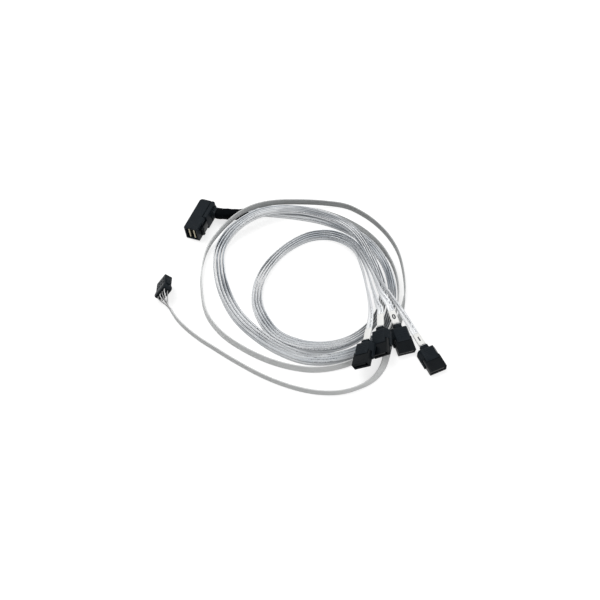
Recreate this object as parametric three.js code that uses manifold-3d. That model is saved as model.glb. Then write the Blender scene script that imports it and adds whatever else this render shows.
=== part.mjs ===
import * as THREE from 'three';
import { mergeVertices } from 'three/addons/utils/BufferGeometryUtils.js';
import Module from 'manifold-3d';

const wasm = await Module();
wasm.setup();

// A right-angle internal storage plug fans out to four drive plugs and a sideband socket.
// Millimetres, +Z up, lying on the plane z = 0 with the drive plugs' noses towards -Y.

// Clearance between pieces that sit in or against each other
const seatGap = 0.3;
// How far a cut, or a part that is joined on, runs past the face that it meets
const overrun = 1;

// Ribbons
const dataRibbonWidth = 4.4;
const dataRibbonThickness = 1.0;
const sidebandRibbonWidth = 5.1;
const sidebandRibbonThickness = 0.85;
const ribbonCount = 4;
const ribbonSteps = 80;
const sleeveSteps = 8;
const labelSteps = 4;
const wireSteps = 12;

// Drive plug
const neckWidth = 5.2;
const neckHeight = 3.0;
const neckLength = 3.0;
const neckCornerRadius = 0.8;
const neckEdge = 0.2;
const gripWidth = 13.2;
const gripTopWidth = 9.0;
const gripHeight = 6.4;
const gripLength = 11.5;
const gripFlankHeight = 2.4;
const gripFrontHeight = 5.4;
const gripFrontSlope = 2.6;
const gripCornerRadius = 1.4;
const gripEdge = 0.3;
const gripBackChamfer = 1;
const noseWidth = 11.9;
const noseHeight = 4.8;
const noseReach = 6.5;
const noseSeat = 4.0;
const noseCornerRadius = 0.5;
const noseEdge = 0.25;
const slotWidth = 10.6;
const slotHeight = 1.5;
const slotDepth = 8.4;
const slotLegWidth = 1.35;
const slotLegHeight = 1.1;
const terminalPitch = 1.27;
const terminalCount = 7;
const terminalWidth = 0.55;
const terminalRise = 0.55;
const terminalLength = 5.6;
const terminalBarHeight = 0.55;
const terminalBarMargin = 0.45;
const terminalPocketDepth = 1.2;

// Number label wrapped round each data ribbon
const labelLength = 9.2;
const labelWall = 0.2;
const labelClearance = 0.2;
const labelSetback = 0.6;
const labelStraight = 2;
const plugStraight = 5.5;

// Host plug: length runs along the nose, height along the card edges
const hostLength = 27.2;
const hostWidth = 11.5;
const hostHeight = 11.7;
const hostCoverThickness = 3.2;
const hostCoverLength = 15.0;
const hostCornerRadius = 2.2;
const hostEdge = 0.35;
const hostNoseLength = 6.5;
const hostNoseStep = 1.3;
const hostSideRelief = 0.4;
const hostEdgeFacets = 4;
const hostCoverChamfer = 1;
const mouthDepth = 7.5;
const mouthWall = 0.9;
const latchSideWall = 1.2;
const cardThickness = 1.0;
const cardHeight = 8.6;
const cardLength = 13.0;
const cardRecess = 0.8;
const cardSpacing = 3.6;
const cardOffset = 0.2;
const cardPadPitch = 0.75;
const cardPadCount = 9;
const cardPadWidth = 0.42;
const cardPadLength = 3.2;
const cardPadRise = 0.1;
const cardPadSetback = 0.4;
const latchHeight = 5.6;
const latchThickness = 0.9;
const latchHookRise = 1.3;
const latchHookLength = 2.0;
const latchHookSlope = 0.6;
const latchTipSlope = 0.5;
const latchReach = 8.6;
const latchTravelRoom = 1.0;
const collarLength = 2.4;
const collarHeight = 8.2;
const collarWidth = 7.8;
const collarSetback = 4.8;
const collarCornerRadius = 1.5;
const collarFoot = 1.4;
const collarLip = 0.6;
const collarEdge = 0.2;
const sleeveHeight = 6.4;
const sleeveWidth = 7.0;
const sleeveCornerRadius = 2.2;
const sleeveStraight = 1.2;

// Sideband socket, two rows of four on a 2.54 mm grid
const socketPitch = 2.54;
const socketColumns = 4;
const socketRows = 2;
const socketEdge = 0.27;
const socketLength = 14.0;
const socketRowSaving = 0.1;
const socketCornerRadius = 0.35;
const socketMouldEdge = 0.2;
const socketBore = 1.9;
const socketPinHole = 1.0;
const socketFrontWall = 1.2;
const socketWindowWidth = 1.2;
const socketWindowLength = 1.8;
const socketWindowSetback = 3.2;
const socketWindowSpacing = 3.2;
const crimpSize = 1.2;
const crimpLength = 7.0;
const crimpSetback = 3.4;
const crimpHoleSize = 0.7;
const crimpHoleDepth = 3;
const wireDiameter = 0.55;
const wirePitch = 0.635;
const wireEntry = 1.6;
const wireLead = 3;
const wireRunIn = 2;

// Where each connector lies: place, then heading, pitch and roll in degrees about its own nose axis
const hostPose = { x: -62.0, y: 69.1, heading: 157, pitch: 0, roll: 7.6, rest: 0 };
const socketPose = { x: -90.4, y: 5.8, heading: 0, pitch: -16, roll: -55, rest: 0 };
const plugPoses = [
  { x: 44.3, y: -47.0, heading: 169, pitch: 6, roll: 33, rest: 6.3 },
  { x: 53.9, y: -36.0, heading: 179, pitch: -2, roll: 33, rest: 5.4 },
  { x: 62.6, y: -29.8, heading: 198, pitch: -10.5, roll: -5, rest: 0 },
  { x: 79.9, y: -44.7, heading: 205.5, pitch: 0, roll: 0, rest: 0 },
];

// The sleeve's middle line, past the collar
const sleeveRoute = [
  [-50, 61.7, 6.7],
  [-43, 62.2, 5.6],
  [-36.5, 63.6, 4.6],
];

// The four data ribbons run side by side, standing on edge, through two turns of the coil.
// Each row holds x, y, z, the lean in degrees and the pitch from one ribbon to the next.
const bundleRoute = [
  [-27, 65.9, 3.4, 0, 1.35],
  [-17.5, 66, 2.4, 0, 1.35],
  [0, 63.5, 2.4, 0, 1.35],
  [17.5, 59, 2.4, 0, 1.35],
  [34.5, 50.5, 2.4, 0, 1.35],
  [49, 37.5, 2.4, 0, 1.35],
  [58, 20.5, 2.4, 0, 1.35],
  [61.5, 0.5, 2.4, 0, 1.35],
  [58.5, -20, 2.4, 0, 1.4],
  [50.5, -37, 2.4, 8, 1.5],
  [36.5, -49, 2.4, 18, 1.7],
  [19.5, -54, 2.4, 18, 1.8],
  [3, -53.5, 2.4, 18, 1.8],
  [-13, -46.5, 2.4, 18, 1.9],
  [-27.5, -35.5, 2.4, 18, 2.0],
  [-41, -20.5, 2.4, 18, 2.1],
  [-50, -2, 2.4, 15, 2.1],
  [-54.5, 17, 2.6, 10, 2.1],
  [-54.5, 33.5, 3.4, 0, 2.0],
  [-48.7, 44.8, 6, 0, 1.8],
  [-39.5, 52.6, 9.4, 0, 1.5],
  [-28.8, 59.3, 10.2, 0, 1.4],
  [-17.5, 63.6, 8.8, 0, 1.35],
  [0, 64.5, 7.4, 0, 1.35],
  [17, 60, 7.3, 0, 1.35],
  [32, 51.5, 7.2, 0, 1.35],
  [41, 40.5, 7.1, 0, 1.35],
  [47.5, 27.5, 5.4, 0, 1.35],
  [52.5, 14.5, 3.4, 0, 1.35],
  [55.3, 0.5, 2.4, 0, 1.35],
  [52.7, -16.5, 2.4, 0, 1.35],
  [44, -31, 2.4, 8, 1.4],
  [31, -41, 2.4, 18, 1.5],
  [16, -45, 2.4, 18, 1.6],
  [0, -43.5, 2.4, 18, 1.7],
  [-14.5, -36.5, 2.4, 18, 1.8],
  [-23.5, -24.5, 2.4, 18, 1.8],
  [-28.5, -9.5, 2.4, 18, 1.8],
  [-27, 8, 2.4, 14, 1.8],
  [-19.5, 23.5, 2.4, 8, 1.7],
  [-8, 36.5, 2.4, 0, 1.5],
  [5.5, 45, 2.4, 0, 1.6],
  [19, 46.5, 3.0, 0, 1.7],
  [30, 41.5, 4.8, 0, 1.7],
  [38, 32.5, 6.9, 0, 1.6],
];

// Past the bundle each data ribbon goes its own way, over the right side of the coil
const tailRoutes = [
  [[41, 16.5, 7.8, -5], [44.5, -3, 8.6, -10], [46.3, -20, 9.8, -35]],
  [[44.3, 15, 7.8, -5], [48.3, -3.5, 8.6, -10], [51.2, -17, 9.8, -40]],
  [[47.6, 12.5, 7.8, 0], [53.5, -6, 8.6, -30]],
  [[51, 9.5, 7.8, 0], [61, -10.5, 8.6, -10], [68, -23.5, 7.6, -50]],
];
const tailLeans = [-62, -62, -90, -90];

// The sideband ribbon: x, y, z and lean
const sidebandRoute = [
  [-27, 69.4, 3.6, 0],
  [-17.5, 69.8, 2.9, 0],
  [-3.5, 69.2, 2.9, -15],
  [14, 66.2, 2.4, -45],
  [31, 58.8, 2.3, -50],
  [47, 46.2, 2.6, -30],
  [60, 27.5, 2.9, 0],
  [65.5, 5, 2.9, 0],
  [63, -19, 2.9, 0],
  [54.5, -39.5, 2.9, 4],
  [42, -52, 2.9, 12],
  [27, -59.5, 2.9, 14],
  [12, -62.5, 2.9, 14],
  [-1.5, -61.5, 2.9, 14],
  [-19.5, -56, 2.9, 14],
  [-37.5, -46, 2.9, 14],
  [-51.5, -34.5, 2.9, 14],
  [-61.5, -19.5, 2.9, 12],
  [-65.5, -1.5, 2.9, 10],
  [-66, 19, 2.9, 8],
  [-62.3, 35.5, 3.6, 0],
  [-54.8, 46.8, 6.6, 0],
  [-44, 56.3, 11.2, 0],
  [-32.8, 63.6, 11.8, 0],
  [-19.5, 69, 10, 0],
  [0, 72.4, 6.8, 0],
  [18, 73.5, 4, 0],
  [32.5, 71.5, 2.9, 0],
  [42.5, 65.5, 2.9, 0],
  [51.5, 57.5, 2.9, 0],
  [60.5, 45.5, 2.9, 0],
  [66.5, 32, 2.9, 0],
  [69.5, 15, 2.9, 0],
  [69.8, -2.5, 2.9, 0],
  [67.8, -14.5, 2.7, 20],
  [65, -24.5, 2.1, 50],
  [60.6, -34, 1.7, 68],
  [58, -42, 1.6, 70],
  [56.2, -50, 1.8, 60],
  [53.5, -59.5, 2.3, 45],
  [47.5, -69, 2.8, 20],
  [38, -75.5, 2.9, 0],
  [25.5, -79.5, 2.9, 0],
  [11, -79.5, 2.9, 0],
  [-5.5, -75.5, 2.9, 0],
  [-23.5, -67.5, 2.9, 0],
  [-42, -56, 2.9, 0],
  [-56, -46, 2.9, 0],
  [-65.5, -39, 2.9, 0],
  [-74.5, -31, 3.2, 0],
  [-81, -24, 4.2, 0],
  [-85, -18, 5.6, 0],
];

// Where the two kinds of ribbon leave the sleeve, sideways from its middle
const bundleSideShift = -0.7;
const sidebandSideShift = 2.6;

function degrees(angle) {
  return THREE.MathUtils.degToRad(angle);
}

// Joins and cuts

function solid(geometry) {
  const bare = geometry.clone().deleteAttribute('normal').deleteAttribute('uv');
  const merged = mergeVertices(bare, 1e-4);
  return new wasm.Manifold(new wasm.Mesh({
    numProp: 3,
    vertProperties: merged.attributes.position.array,
    triVerts: new Uint32Array(merged.index.array),
  }));
}

function geometryOf(body) {
  const mesh = body.getMesh();
  const geometry = new THREE.BufferGeometry();
  geometry.setAttribute('position', new THREE.BufferAttribute(mesh.vertProperties, 3));
  geometry.setIndex(new THREE.BufferAttribute(mesh.triVerts, 1));
  return geometry.toNonIndexed();
}

function join(first, ...others) {
  return others.reduce((whole, other) => whole.add(other), first);
}

function cut(first, ...others) {
  return others.reduce((whole, other) => whole.subtract(other), first);
}

// Closed shapes

const xAxis = new THREE.Vector3(1, 0, 0);
const yAxis = new THREE.Vector3(0, 1, 0);
const zAxis = new THREE.Vector3(0, 0, 1);

function roundedRect(width, height, radius) {
  const x = width / 2 - radius;
  const y = height / 2 - radius;
  const shape = new THREE.Shape();
  shape.absarc(x, y, radius, 0, Math.PI / 2);
  shape.absarc(-x, y, radius, Math.PI / 2, Math.PI);
  shape.absarc(-x, -y, radius, Math.PI, Math.PI * 1.5);
  shape.absarc(x, -y, radius, Math.PI * 1.5, Math.PI * 2);
  shape.closePath();
  return shape;
}

function outline(points) {
  return new THREE.Shape(points.map(([x, y]) => new THREE.Vector2(x, y)));
}

function extrude(shape, depth, edge = 0, facets = 3) {
  const geometry = new THREE.ExtrudeGeometry(shape, {
    depth: depth - 2 * edge,
    bevelEnabled: edge > 0,
    bevelThickness: edge,
    bevelSize: edge,
    bevelOffset: -edge,
    bevelSegments: 1,
    curveSegments: facets,
  });
  return geometry.translate(0, 0, edge);
}

// A prism from a shape in x and z, running from yFrom along +Y
function prismAlongY(shape, yFrom, length, edge = 0, facets = 3) {
  const turned = new THREE.Matrix4().makeBasis(xAxis, zAxis, yAxis.clone().negate());
  return solid(extrude(shape, length, edge, facets).applyMatrix4(turned).translate(0, yFrom + length, 0));
}

// A prism from a shape in y and z, running from xFrom along +X
function prismAlongX(shape, xFrom, length, edge = 0, facets = 3) {
  const turned = new THREE.Matrix4().makeBasis(yAxis, zAxis, xAxis);
  return solid(extrude(shape, length, edge, facets).applyMatrix4(turned).translate(xFrom, 0, 0));
}

// A prism from a shape in x and y, running from zFrom along +Z
function prismAlongZ(shape, zFrom, length, edge = 0, facets = 3) {
  return solid(extrude(shape, length, edge, facets).translate(0, 0, zFrom));
}

function block(xFrom, xTo, yFrom, yTo, zFrom, zTo) {
  const geometry = new THREE.BoxGeometry(xTo - xFrom, yTo - yFrom, zTo - zFrom);
  return solid(geometry.translate((xFrom + xTo) / 2, (yFrom + yTo) / 2, (zFrom + zTo) / 2));
}

// Materials

function material(color, roughness, metalness) {
  return new THREE.MeshStandardMaterial({ color, roughness, metalness });
}

const finishes = {
  housing: () => material(0x15181b, 0.5, 0),
  insulator: () => material(0x0d0f11, 0.45, 0),
  sleeve: () => material(0x101214, 0.6, 0),
  dataRibbon: () => material(0xdfe2e3, 0.35, 0.5),
  sidebandRibbon: () => material(0xaeb1b0, 0.55, 0),
  label: () => material(0xf4f4f1, 0.6, 0),
  contact: () => material(0xc9a765, 0.3, 1),
  card: () => material(0xc8b890, 0.5, 0.2),
  wire: () => material(0xd4d5d3, 0.5, 0),
};

function piece(name, body, finish) {
  const geometry = body.isBufferGeometry ? body : geometryOf(body);
  geometry.computeVertexNormals();
  const mesh = new THREE.Mesh(geometry, finish());
  mesh.name = name;
  return mesh;
}

// Turns a connector about its nose axis and lowers it until its lowest point is at its rest height
function lay(connector, pose) {
  connector.rotation.set(degrees(pose.pitch), degrees(pose.roll), degrees(pose.heading), 'ZXY');
  connector.position.set(pose.x, pose.y, 0);
  connector.updateMatrixWorld(true);
  const bounds = new THREE.Box3().setFromObject(connector, true);
  connector.position.z = pose.rest - bounds.min.z;
  connector.updateMatrixWorld(true);
}

// A flat ribbon's path: stands on edge, and leans by an angle of its own at each point

class RibbonPath extends THREE.CatmullRomCurve3 {
  constructor(points, leans) {
    super(points, false, 'centripetal');
    this.leans = leans;
    this.arcLengthDivisions = 1600;
  }

  leanAt(along) {
    const place = this.getUtoTmapping(along) * (this.leans.length - 1);
    const before = Math.min(Math.floor(place), this.leans.length - 2);
    return THREE.MathUtils.lerp(this.leans[before], this.leans[before + 1], place - before);
  }

  // The thickness direction is the left of the run, turned by the lean, and the width stands up from it
  computeFrenetFrames(segments) {
    const tangents = [];
    const normals = [];
    const binormals = [];
    for (let i = 0; i <= segments; i += 1) {
      const tangent = this.getTangentAt(i / segments).normalize();
      const normal = new THREE.Vector3().crossVectors(zAxis, tangent).normalize();
      normal.applyAxisAngle(tangent, degrees(this.leanAt(i / segments)));
      tangents.push(tangent);
      normals.push(normal);
      binormals.push(new THREE.Vector3().crossVectors(tangent, normal));
    }
    return { tangents, normals, binormals };
  }

  // The stretch from one distance along the path to another, as a path of its own
  stretch(from, to, pointCount) {
    const length = this.getLength();
    const points = [];
    const leans = [];
    for (let i = 0; i < pointCount; i += 1) {
      const along = THREE.MathUtils.lerp(from, to, i / (pointCount - 1)) / length;
      points.push(this.getPointAt(along));
      leans.push(this.leanAt(along));
    }
    return new RibbonPath(points, leans);
  }
}

// Eight sides: a rectangle with its corners taken off
function ribbonSection(width, thickness) {
  const side = thickness / 2;
  const top = width / 2;
  const corner = thickness * 0.3;
  return outline([
    [side, -top + corner], [side, top - corner], [side - corner, top], [corner - side, top],
    [-side, top - corner], [-side, corner - top], [corner - side, -top], [side - corner, -top],
  ]);
}

function along(shape, path, steps) {
  return new THREE.ExtrudeGeometry(shape, { steps, extrudePath: path, curveSegments: 4 });
}

// Drive plug: a grip with a neck behind it, an insulator nose with an L-shaped slot, and its terminals

const gripBack = neckLength;
const gripFront = gripBack + gripLength;
const noseBack = gripFront - noseSeat;
const noseFront = gripFront + noseReach;
const plugMiddle = gripHeight / 2;

function drivePlugGrip() {
  const half = gripWidth / 2;
  const topHalf = gripTopWidth / 2;
  const plan = roundedRect(gripWidth, gripLength + gripCornerRadius, gripCornerRadius);
  const planSolid = prismAlongZ(plan, 0, gripHeight, gripEdge);
  const footprint = planSolid.translate([0, gripBack + (gripLength + gripCornerRadius) / 2, 0]);
  const frontView = outline([
    [-half, 0], [half, 0], [half, gripFlankHeight], [topHalf, gripHeight],
    [-topHalf, gripHeight], [-half, gripFlankHeight],
  ]);
  const sideView = outline([
    [gripBack, 0], [gripFront, 0], [gripFront, gripFrontHeight],
    [gripFront - gripFrontSlope, gripHeight],
    [gripBack + gripBackChamfer, gripHeight], [gripBack, gripHeight - gripBackChamfer],
  ]);
  const flanks = prismAlongY(frontView, gripBack, gripLength);
  const profile = prismAlongX(sideView, -half, gripWidth);
  const neckShape = roundedRect(neckWidth, neckHeight, neckCornerRadius);
  const neck = prismAlongY(neckShape, 0, neckLength + overrun, neckEdge).translate([0, 0, plugMiddle]);
  const pocketShape = roundedRect(noseWidth + 2 * seatGap, noseHeight + 2 * seatGap, noseCornerRadius);
  const pocketBack = noseBack - seatGap;
  const pocket = prismAlongY(pocketShape, pocketBack, noseSeat + 2 * overrun).translate([0, 0, plugMiddle]);
  return cut(join(footprint.intersect(flanks).intersect(profile), neck), pocket);
}

function drivePlugNose() {
  const shape = roundedRect(noseWidth, noseHeight, noseCornerRadius);
  const shell = prismAlongY(shape, noseBack, noseFront - noseBack, noseEdge);
  const slotBack = noseFront - slotDepth;
  const half = slotWidth / 2;
  const low = -slotHeight / 2;
  const slot = block(-half, half, slotBack, noseFront + overrun, low, -low);
  const leg = block(-half, slotLegWidth - half, slotBack, noseFront + overrun, 0, slotLegHeight - low);
  const barHalf = terminalBarWidth() / 2 + seatGap;
  const pocketFront = slotBack + seatGap + terminalLength + seatGap;
  const pocket = block(-barHalf, barHalf, slotBack, pocketFront, low - terminalPocketDepth, 0);
  return cut(shell, slot, leg, pocket).translate([0, 0, plugMiddle]);
}

function terminalBarWidth() {
  return (terminalCount - 1) * terminalPitch + terminalWidth + 2 * terminalBarMargin;
}

function drivePlugTerminals() {
  const back = noseFront - slotDepth + seatGap;
  const floor = plugMiddle - slotHeight / 2 - terminalPocketDepth + seatGap;
  const barTop = floor + terminalBarHeight;
  const half = terminalBarWidth() / 2;
  const bar = block(-half, half, back, back + terminalLength, floor, barTop);
  const blades = [];
  for (let i = 0; i < terminalCount; i += 1) {
    const middle = (i - (terminalCount - 1) / 2) * terminalPitch;
    const from = middle - terminalWidth / 2;
    const bladeTop = barTop + terminalRise;
    blades.push(block(from, from + terminalWidth, back, back + terminalLength, floor, bladeTop));
  }
  return join(bar, ...blades);
}

function drivePlug(number) {
  const plug = new THREE.Group();
  plug.add(piece(`drive_plug_${number}_grip`, drivePlugGrip(), finishes.housing));
  plug.add(piece(`drive_plug_${number}_nose`, drivePlugNose(), finishes.insulator));
  plug.add(piece(`drive_plug_${number}_terminals`, drivePlugTerminals(), finishes.contact));
  return plug;
}

// Host plug: a body with a mouth for two cards, a cover and collar on the cable side, and a latch

const hostHalf = hostWidth / 2;
const seamX = hostCoverThickness - hostHalf;
const noseSide = hostNoseStep - hostHalf;
const coverFront = hostCoverLength;
const latchBack = coverFront + seatGap;
const latchFront = latchBack + latchReach;
const latchMiddle = hostHeight / 2;

function hostBody() {
  const length = hostLength;
  const plan = new THREE.Shape();
  plan.moveTo(seamX, 0);
  plan.lineTo(hostHalf - hostCornerRadius, 0);
  plan.absarc(hostHalf - hostCornerRadius, hostCornerRadius, hostCornerRadius, -Math.PI / 2, 0);
  plan.lineTo(hostHalf, length);
  plan.lineTo(noseSide, length);
  plan.lineTo(noseSide, length - hostNoseLength);
  plan.lineTo(noseSide - hostSideRelief, length - hostNoseLength);
  plan.lineTo(noseSide - hostSideRelief, coverFront + seatGap);
  plan.lineTo(seamX, coverFront + seatGap);
  plan.closePath();
  const shell = prismAlongZ(plan, 0, hostHeight, hostEdge, hostEdgeFacets);
  const mouthFrom = noseSide + latchSideWall;
  const mouthTo = hostHalf - mouthWall;
  const low = (hostHeight - cardHeight) / 2 - seatGap;
  const mouth = block(mouthFrom, mouthTo, length - mouthDepth, length + overrun, low, hostHeight - low);
  const slots = cardPlaces().map((x) => {
    const half = cardThickness / 2 + seatGap;
    const back = length - cardRecess - cardLength - seatGap;
    return block(x - half, x + half, back, length, low, hostHeight - low);
  });
  const latchHalf = latchHeight / 2 + seatGap;
  const latchRoom = block(
    -hostHalf - overrun, latchThickness + latchTravelRoom - hostHalf, coverFront, latchFront + seatGap,
    latchMiddle - latchHalf, latchMiddle + latchHalf,
  );
  return cut(shell, mouth, ...slots, latchRoom);
}

function cardPlaces() {
  const middle = (noseSide + hostHalf) / 2 + cardOffset;
  return [middle - cardSpacing / 2, middle + cardSpacing / 2];
}

function paddleCard(x) {
  const front = hostLength - cardRecess;
  const half = cardThickness / 2 - cardPadRise;
  const low = (hostHeight - cardHeight) / 2;
  const board = block(x - half, x + half, front - cardLength, front, low, low + cardHeight);
  const pads = [];
  for (let i = 0; i < cardPadCount; i += 1) {
    const middle = hostHeight / 2 + (i - (cardPadCount - 1) / 2) * cardPadPitch;
    const from = middle - cardPadWidth / 2;
    const padHalf = cardThickness / 2;
    const padFront = front - cardPadSetback;
    pads.push(block(x - padHalf, x + padHalf, padFront - cardPadLength, padFront, from, from + cardPadWidth));
  }
  return join(board, ...pads);
}

function hostCover() {
  const plan = new THREE.Shape();
  const outside = -hostHalf;
  const inside = seamX - seatGap;
  plan.moveTo(inside, 0);
  plan.lineTo(inside, coverFront);
  plan.lineTo(outside, coverFront);
  plan.lineTo(outside, hostCoverChamfer);
  plan.lineTo(outside + hostCoverChamfer, 0);
  plan.closePath();
  const shell = prismAlongZ(plan, 0, hostHeight, hostEdge, hostEdgeFacets);
  return cut(shell, collarCut(seatGap));
}

// The collar's foot sits in a pocket in the cover's outer wall
function collarCut(clearance) {
  const shape = roundedRect(collarWidth + 2 * clearance, collarHeight + 2 * clearance, collarCornerRadius);
  const foot = prismAlongX(shape, -hostHalf - overrun, overrun + collarFoot + clearance);
  return foot.translate([0, collarSetback, hostHeight / 2]);
}

function hostCollar() {
  const footShape = roundedRect(collarWidth, collarHeight, collarCornerRadius);
  const foot = prismAlongX(footShape, -hostHalf - collarLip, collarFoot + collarLip, collarEdge);
  const stub = prismAlongX(
    roundedRect(sleeveWidth, sleeveHeight, sleeveCornerRadius), -hostHalf - collarLength, collarLength,
  );
  return join(foot, stub).translate([0, collarSetback, hostHeight / 2]);
}

function hostLatch() {
  const back = latchBack;
  const front = latchFront;
  const outer = -hostHalf;
  const arm = outline([
    [outer, back], [outer + latchThickness, back], [outer + latchThickness, front],
    [outer - latchHookRise + latchTipSlope, front], [outer - latchHookRise, front - latchHookSlope],
    [outer - latchHookRise, front - latchHookLength], [outer, front - latchHookLength - latchHookSlope],
  ]);
  return prismAlongZ(arm, latchMiddle - latchHeight / 2, latchHeight);
}

function hostPlug() {
  const plug = new THREE.Group();
  plug.add(piece('host_plug_body', hostBody(), finishes.housing));
  plug.add(piece('host_plug_cover', hostCover(), finishes.housing));
  plug.add(piece('host_plug_collar', hostCollar(), finishes.housing));
  plug.add(piece('host_plug_latch', hostLatch(), finishes.insulator));
  cardPlaces().forEach((x, index) => {
    plug.add(piece(`paddle_card_${index + 1}`, paddleCard(x), finishes.card));
  });
  return plug;
}

// Sideband socket: a two-row housing with a cavity, a window and a crimped contact for each wire

const socketWidth = socketColumns * socketPitch + 2 * socketEdge;
const socketThickness = socketRows * socketPitch + 2 * socketEdge - socketRowSaving;
const crimpBack = -socketLength + crimpSetback;

function cavities() {
  const places = [];
  for (let column = 0; column < socketColumns; column += 1) {
    for (let row = 0; row < socketRows; row += 1) {
      const x = (column - (socketColumns - 1) / 2) * socketPitch;
      const z = (row - (socketRows - 1) / 2) * socketPitch;
      places.push({ column, row, x, z });
    }
  }
  return places;
}

// The mating face is at y = 0 and the wires enter at y = -socketLength
function sidebandHousing() {
  const shape = roundedRect(socketWidth, socketThickness, socketCornerRadius);
  const shell = prismAlongY(shape, -socketLength, socketLength, socketMouldEdge, 1);
  const bores = cavities().map(({ row, x, z }) => {
    const half = socketBore / 2;
    const pin = socketPinHole / 2;
    const bore = block(x - half, x + half, -socketLength - overrun, -socketFrontWall, z - half, z + half);
    const pinHole = block(x - pin, x + pin, -socketFrontWall - overrun, overrun, z - pin, z + pin);
    const side = row === 0 ? -1 : 1;
    const windowHalf = socketWindowWidth / 2;
    const outside = side * socketThickness;
    const windows = [0, socketWindowSpacing].map((further) => {
      const front = -socketWindowSetback - further;
      return block(
        x - windowHalf, x + windowHalf, front - socketWindowLength, front,
        Math.min(z, outside), Math.max(z, outside),
      );
    });
    return join(bore, pinHole, ...windows);
  });
  return cut(shell, ...bores);
}

function crimpContact(x, z) {
  const half = crimpSize / 2;
  const box = block(x - half, x + half, crimpBack, crimpBack + crimpLength, z - half, z + half);
  const hollow = crimpHoleSize / 2;
  const front = crimpBack + crimpLength;
  const hole = block(x - hollow, x + hollow, front - crimpHoleDepth, front + overrun, z - hollow, z + hollow);
  return cut(box, hole);
}

function sidebandSocket() {
  const socket = new THREE.Group();
  socket.add(piece('sideband_housing', sidebandHousing(), finishes.housing));
  cavities().forEach(({ x, z }, index) => {
    socket.add(piece(`sideband_contact_${index + 1}`, crimpContact(x, z), finishes.contact));
  });
  return socket;
}

// The whole cable

const cable = new THREE.Group();

const host = hostPlug();
lay(host, hostPose);
cable.add(host);

const socket = sidebandSocket();
lay(socket, socketPose);
cable.add(socket);

const plugs = plugPoses.map((pose, index) => {
  const plug = drivePlug(index + 1);
  lay(plug, pose);
  cable.add(plug);
  return plug;
});

// Sleeve from the collar to where the ribbons part
const sleeveStart = host.localToWorld(
  new THREE.Vector3(-hostHalf - collarLength - seatGap, collarSetback, hostHeight / 2),
);
const sleeveLead = host.localToWorld(
  new THREE.Vector3(-hostHalf - collarLength - seatGap - sleeveStraight, collarSetback, hostHeight / 2),
);
const sleeveRun = sleeveRoute.map(([x, y, z]) => new THREE.Vector3(x, y, z));
const sleeveEnd = sleeveRun[sleeveRun.length - 1];
const sleevePath = new RibbonPath(
  [sleeveStart, sleeveLead, ...sleeveRun],
  [-hostPose.roll, -hostPose.roll, ...sleeveRun.map(() => 0)],
);
const sleeveSection = roundedRect(sleeveWidth, sleeveHeight, sleeveCornerRadius);
cable.add(piece('heat_shrink_sleeve', along(sleeveSection, sleevePath, sleeveSteps), finishes.sleeve));

// Data ribbons, each from the sleeve's end face to the neck of its plug
const sleeveHeading = sleevePath.getTangentAt(1);
const sleeveSide = new THREE.Vector3().crossVectors(zAxis, sleeveHeading).normalize();

function sleeveExit(sideways) {
  return sleeveEnd.clone().addScaledVector(sleeveHeading, seatGap).addScaledVector(sleeveSide, sideways);
}

function bundlePoints(index) {
  const middle = new THREE.CatmullRomCurve3(
    bundleRoute.map(([x, y, z]) => new THREE.Vector3(x, y, z)), false, 'centripetal',
  );
  return bundleRoute.map(([x, y, z, , pitch], row) => {
    const tangent = middle.getTangent(row / (bundleRoute.length - 1));
    const left = new THREE.Vector3().crossVectors(zAxis, tangent).normalize();
    const offset = (index - (ribbonCount - 1) / 2) * pitch;
    return new THREE.Vector3(x, y, z).addScaledVector(left, offset);
  });
}

function dataRibbonPath(index) {
  const plug = plugs[index];
  const pitch = bundleRoute[0][4];
  const sideways = bundleSideShift + (index - (ribbonCount - 1) / 2) * pitch;
  const start = sleeveExit(sideways);
  const straight = [labelLength + plugStraight, labelLength + labelStraight, seatGap].map(
    (back) => plug.localToWorld(new THREE.Vector3(0, -back, plugMiddle)),
  );
  const tail = tailRoutes[index].map(([x, y, z]) => new THREE.Vector3(x, y, z));
  const points = [start, ...bundlePoints(index), ...tail, ...straight];
  const leans = [
    0, ...bundleRoute.map((row) => row[3]), ...tailRoutes[index].map((row) => row[3]),
    ...straight.map(() => tailLeans[index]),
  ];
  return new RibbonPath(points, leans);
}

function labelSection() {
  const width = dataRibbonWidth + 2 * labelClearance;
  const thickness = dataRibbonThickness + 2 * labelClearance;
  const section = ribbonSection(width + 2 * labelWall, thickness + 2 * labelWall);
  section.holes.push(ribbonSection(width, thickness));
  return section;
}

for (let index = 0; index < ribbonCount; index += 1) {
  const path = dataRibbonPath(index);
  const section = ribbonSection(dataRibbonWidth, dataRibbonThickness);
  cable.add(piece(`data_ribbon_${index + 1}`, along(section, path, ribbonSteps), finishes.dataRibbon));
  const length = path.getLength();
  const labelPath = path.stretch(length - labelSetback - labelLength, length - labelSetback, labelSteps + 1);
  cable.add(piece(`number_label_${index + 1}`, along(labelSection(), labelPath, labelSteps), finishes.label));
}

// Sideband ribbon, then one wire from each of its ways into the socket
const sidebandPath = new RibbonPath(
  [sleeveExit(sidebandSideShift), ...sidebandRoute.map(([x, y, z]) => new THREE.Vector3(x, y, z))],
  [0, ...sidebandRoute.map((row) => row[3])],
);
const sidebandSection = ribbonSection(sidebandRibbonWidth, sidebandRibbonThickness);
cable.add(piece('sideband_ribbon', along(sidebandSection, sidebandPath, ribbonSteps), finishes.sidebandRibbon));

const ribbonEnd = sidebandPath.getPointAt(1);
const ribbonHeading = sidebandPath.getTangentAt(1);
const ribbonUp = new THREE.Vector3().crossVectors(ribbonHeading, zAxis).cross(ribbonHeading).normalize();
const wireSection = ribbonSection(wireDiameter, wireDiameter);

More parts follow.
